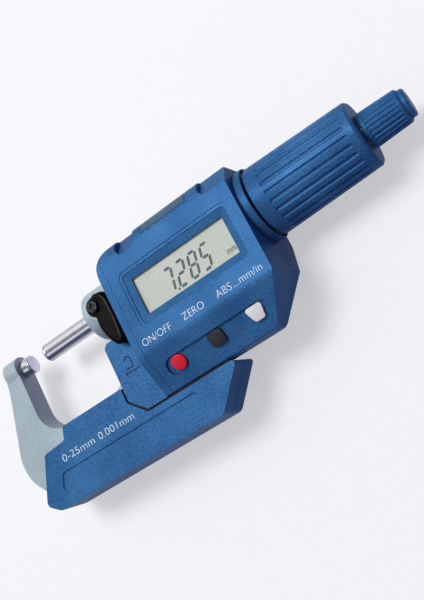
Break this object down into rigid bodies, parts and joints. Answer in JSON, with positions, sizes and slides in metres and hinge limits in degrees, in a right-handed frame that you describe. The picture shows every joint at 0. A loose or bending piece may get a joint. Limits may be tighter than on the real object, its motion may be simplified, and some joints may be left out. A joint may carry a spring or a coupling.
{
  "type": "digital outside micrometer",
  "caption": "Digital outside micrometer for up to 25 mm with a C-shaped frame, display housing, fluted thimble, ratchet knob and spindle lock lever.",
  "frame": {"origin": "middle of the anvil's measuring face, on the measuring line", "axes": "+X along the measuring line from the anvil to the ratchet, +Y towards the top of the display housing, +Z out of the display"},
  "size_m": [0.1727, 0.0653, 0.0278],
  "materials": {
    "grey_enamel": "hammered enamel",
    "pearl_blue": "satin pearl paint",
    "inlay_blue": "satin",
    "ground_steel": "ground and polished",
    "carbide": "lapped",
    "brass": "turned",
    "black_gloss": "gloss black",
    "black_rubber": "moulded",
    "clear_pane": "clear",
    "lcd_glass": "reflective grey-green",
    "circuit_board": "solder mask",
    "slate_plastic": "satin",
    "red_plastic": "semi gloss",
    "ivory_plastic": "semi gloss",
    "teal_rubber": "matt"
  },
  "bodies": {
    "frame": {"c_frame": "grey_enamel", "collar_ring": "pearl_blue", "housing_front": "pearl_blue", "housing_back": "pearl_blue", "housing_strip": "pearl_blue", "chin_front": "pearl_blue", "chin_back": "pearl_blue", "grip_front": "pearl_blue", "grip_back": "pearl_blue", "bezel_frame": "inlay_blue", "anvil": "ground_steel", "spindle_key": "ground_steel", "guide_sleeve": "ground_steel", "sleeve_nut": "ground_steel", "housing_screws": "ground_steel", "grip_screws": "ground_steel", "battery": "ground_steel", "anvil_tip": "carbide", "battery_contact": "brass", "lock_shoe": "brass", "battery_seal": "black_rubber", "grip_seal": "black_rubber", "window_lens": "clear_pane", "lcd_panel": "lcd_glass", "encoder_stator": "circuit_board", "main_board": "circuit_board", "key_board": "circuit_board", "lcd_connector": "slate_plastic", "port_socket": "slate_plastic"},
    "thimble": {"thimble": "pearl_blue", "drive_hub": "ground_steel", "drive_nut": "brass", "encoder_rotor": "brass", "ratchet_stub": "ground_steel", "ratchet_screw": "ground_steel"},
    "spindle": {"spindle": "ground_steel", "spindle_tip": "carbide"},
    "ratchet": {"ratchet_knob": "pearl_blue", "ratchet_pawl": "brass", "ratchet_spring": "ground_steel", "ratchet_cap": "pearl_blue"},
    "lock": {"lock_lever": "black_gloss", "lock_screw": "black_gloss", "lock_bolt": "ground_steel"},
    "button_power": {"button_power": "red_plastic"},
    "button_zero": {"button_zero": "slate_plastic"},
    "button_mode": {"button_mode": "ivory_plastic"},
    "battery_cap": {"battery_cap": "inlay_blue"},
    "port_cover": {"port_cover": "teal_rubber"}
  },
  "joints": [
    {"name": "thimble_turn", "type": "hinge", "parent": "frame", "child": "thimble", "pos_m": [0.0989, 0, 0], "axis": [1, 0, 0], "range_deg": [-5245.2, 12754.8]},
    {"name": "spindle_feed", "type": "slide", "parent": "frame", "child": "spindle", "axis": [1, 0, 0], "range_m": [-0.00728, 0.01772]},
    {"name": "ratchet_slip", "type": "hinge", "parent": "thimble", "child": "ratchet", "pos_m": [0.1394, 0, 0], "axis": [1, 0, 0], "continuous": true},
    {"name": "lock_swing", "type": "hinge", "parent": "frame", "child": "lock", "pos_m": [0.0386, 0, 0.0091], "axis": [0, 0, 1], "range_deg": [-60, 0]},
    {"name": "button_power_press", "type": "slide", "parent": "frame", "child": "button_power", "axis": [0, 0.4493, -0.8934], "range_m": [0, 0.0006], "stiffness_N_per_m": 1500, "springref_m": -0.0003},
    {"name": "button_zero_press", "type": "slide", "parent": "frame", "child": "button_zero", "axis": [0, 0.4493, -0.8934], "range_m": [0, 0.0006], "stiffness_N_per_m": 1500, "springref_m": -0.0003},
    {"name": "button_mode_press", "type": "slide", "parent": "frame", "child": "button_mode", "axis": [0, 0.4493, -0.8934], "range_m": [0, 0.0006], "stiffness_N_per_m": 1500, "springref_m": -0.0003},
    {"name": "battery_cap_turn", "type": "hinge", "parent": "frame", "child": "battery_cap", "pos_m": [0.0609, -0.0025, -0.0138], "axis": [0, 0, -1], "range_deg": [0, 60]},
    {"name": "port_cover_pull", "type": "slide", "parent": "frame", "child": "port_cover", "axis": [0, 1, 0], "range_m": [0, 0.004]}
  ],
  "couplings": [
    {"joint": "spindle_feed", "follows": "thimble_turn", "m_per_rad": 0.000079577}
  ]
}
